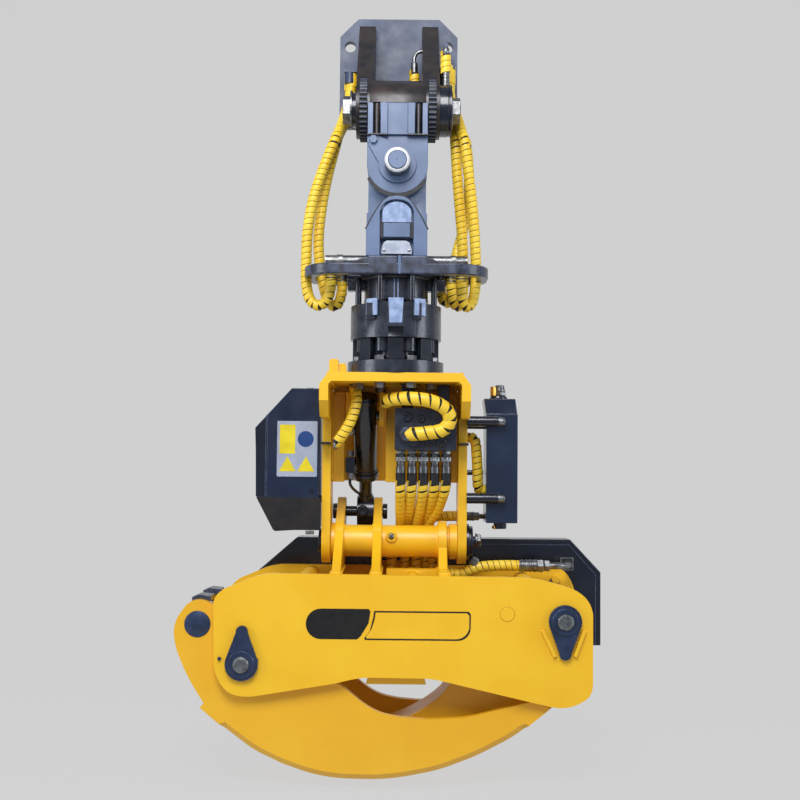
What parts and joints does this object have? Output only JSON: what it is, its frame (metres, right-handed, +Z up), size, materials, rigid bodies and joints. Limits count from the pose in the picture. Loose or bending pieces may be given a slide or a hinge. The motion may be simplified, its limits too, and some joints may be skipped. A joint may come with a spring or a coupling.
{
  "type": "grapple saw",
  "caption": "Hydraulic grapple saw: bolt-on swing link, rotator, tilting frame and a two-arm timber grab with a swing-out chain saw behind it.",
  "frame": {"origin": "centre of the four-bolt pattern on the rear face of the mounting plate", "axes": "+X to the right seen from the front, +Y from the front to the mounting face, +Z up along the hanging tool"},
  "size_m": [0.9841, 0.3915, 1.7925],
  "materials": {
    "slate_paint": "satin slate grey paint",
    "black_casting": "glossy black painted casting",
    "black_paint": "gloss black powder coat",
    "yellow_paint": "gloss yellow paint",
    "zinc": "zinc plated",
    "steel": "ground steel",
    "chrome_rod": "hard chrome",
    "bronze": "plain bearing bronze",
    "hose_guard_yellow": "spiral hose sleeve",
    "black_rubber": "hydraulic hose cover"
  },
  "bodies": {
    "mount": {"mount_plate": "slate_paint", "bracket_cheeks": "black_casting", "swing_pin_x": "steel", "swing_nuts_x": "zinc", "brake_discs": "black_casting", "brake_housings": "black_paint", "bracket_fittings": "zinc", "jumper_upper": "hose_guard_yellow"},
    "swing_link": {"cross_link": "slate_paint", "swing_pin_y": "steel", "castle_nut": "zinc", "pin_retainer": "slate_paint"},
    "head": {"rotator_head": "slate_paint", "hose_guard": "black_casting", "head_fittings": "zinc", "rotator_stator": "black_casting", "stator_rods": "black_casting", "jumper_lower": "hose_guard_yellow"},
    "frame": {"rotator_rotor": "black_casting", "flange_bolts": "zinc", "frame_top_plate": "yellow_paint", "frame_side_plates": "yellow_paint", "frame_back_plate": "yellow_paint", "tilt_pin": "steel", "pin_cap": "black_paint", "trunnion_brackets": "yellow_paint", "side_cover": "black_paint", "cover_bolts": "zinc", "oil_tank": "black_paint", "tank_filler": "black_paint", "tank_spacers": "black_paint", "tank_hose": "black_rubber", "valve_block": "black_casting", "valve_fittings": "zinc", "loop_hoses": "black_rubber", "feed_hoses": "hose_guard_yellow"},
    "tilt_cylinder": {"tilt_barrel": "black_paint"},
    "tilt_piston": {"tilt_rod": "chrome_rod"},
    "housing": {"front_plate": "yellow_paint", "rear_plate": "yellow_paint", "housing_spacers": "yellow_paint", "pivot_ears": "yellow_paint", "tilt_tube": "yellow_paint", "tilt_bushes": "bronze", "rod_pin": "steel", "arm_pins": "steel", "pivot_retainers": "slate_paint", "grab_base_pin": "steel", "saw_box": "black_paint", "saw_motor": "black_paint", "saw_hose": "black_rubber"},
    "left_jaw": {"left_arm": "yellow_paint", "left_lever_pin": "steel"},
    "right_jaw": {"right_arm": "yellow_paint"},
    "grab_cylinder": {"grapple_barrel": "black_paint"},
    "grab_piston": {"grapple_rod": "chrome_rod"},
    "saw": {"saw_bar": "steel", "saw_chain": "steel"},
    "sprocket": {"drive_sprocket": "steel"}
  },
  "joints": [
    {"name": "swing_fore_aft", "type": "hinge", "parent": "mount", "child": "swing_link", "pos_m": [0, -0.19, -0.143], "axis": [1, 0, 0], "range_deg": [-35, 35], "deforming": ["jumper_upper"]},
    {"name": "swing_sideways", "type": "hinge", "parent": "swing_link", "child": "head", "pos_m": [0, -0.19, -0.285], "axis": [0, 1, 0], "range_deg": [-35, 35], "deforming": ["jumper_lower"]},
    {"name": "rotator_turn", "type": "hinge", "parent": "head", "child": "frame", "pos_m": [0, -0.19, -0.682], "axis": [0, 0, 1], "continuous": true},
    {"name": "tilt", "type": "hinge", "parent": "frame", "child": "housing", "pos_m": [0, -0.102, -1.144], "axis": [-1, 0, 0], "range_deg": [0, 90], "deforming": ["feed_hoses"]},
    {"name": "tilt_cylinder_swing", "type": "hinge", "parent": "frame", "child": "tilt_cylinder", "pos_m": [-0.07, -0.11, -0.85], "axis": [1, 0, 0], "range_deg": [-13, 1]},
    {"name": "tilt_piston_slide", "type": "slide", "parent": "tilt_cylinder", "child": "tilt_piston", "axis": [0, 0.4117, -0.9113], "range_m": [-0.001, 0.157]},
    {"name": "left_jaw_swing", "type": "hinge", "parent": "housing", "child": "left_jaw", "pos_m": [-0.32826, -0.157, -1.40191], "axis": [0, 1, 0], "range_deg": [0, 60]},
    {"name": "right_jaw_swing", "type": "hinge", "parent": "housing", "child": "right_jaw", "pos_m": [0.37558, -0.157, -1.3041], "axis": [0, 1, 0], "range_deg": [-60, 0]},
    {"name": "grab_cylinder_swing", "type": "hinge", "parent": "housing", "child": "grab_cylinder", "pos_m": [0.25025, -0.157, -1.29008], "axis": [0, 1, 0], "range_deg": [-0.2, 5.5]},
    {"name": "grab_piston_slide", "type": "slide", "parent": "grab_cylinder", "child": "grab_piston", "axis": [-0.999, 0, -0.0437], "range_m": [-0.12, 0.001]},
    {"name": "saw_swing", "type": "hinge", "parent": "housing", "child": "saw", "pos_m": [0.4536, 0.03, -1.25033], "axis": [0, -1, 0], "range_deg": [0, 90]},
    {"name": "sprocket_spin", "type": "hinge", "parent": "housing", "child": "sprocket", "pos_m": [0.4536, 0.035, -1.25033], "axis": [0, 1, 0], "continuous": true}
  ],
  "couplings": [
    {"joint": "tilt_cylinder_swing", "follows": "tilt", "ratio": -0.1263},
    {"joint": "tilt_piston_slide", "follows": "tilt", "m_per_rad": 0.09915},
    {"joint": "right_jaw_swing", "follows": "left_jaw_swing", "ratio": -1},
    {"joint": "grab_cylinder_swing", "follows": "left_jaw_swing", "ratio": 0.0871},
    {"joint": "grab_piston_slide", "follows": "left_jaw_swing", "m_per_rad": -0.11306}
  ]
}
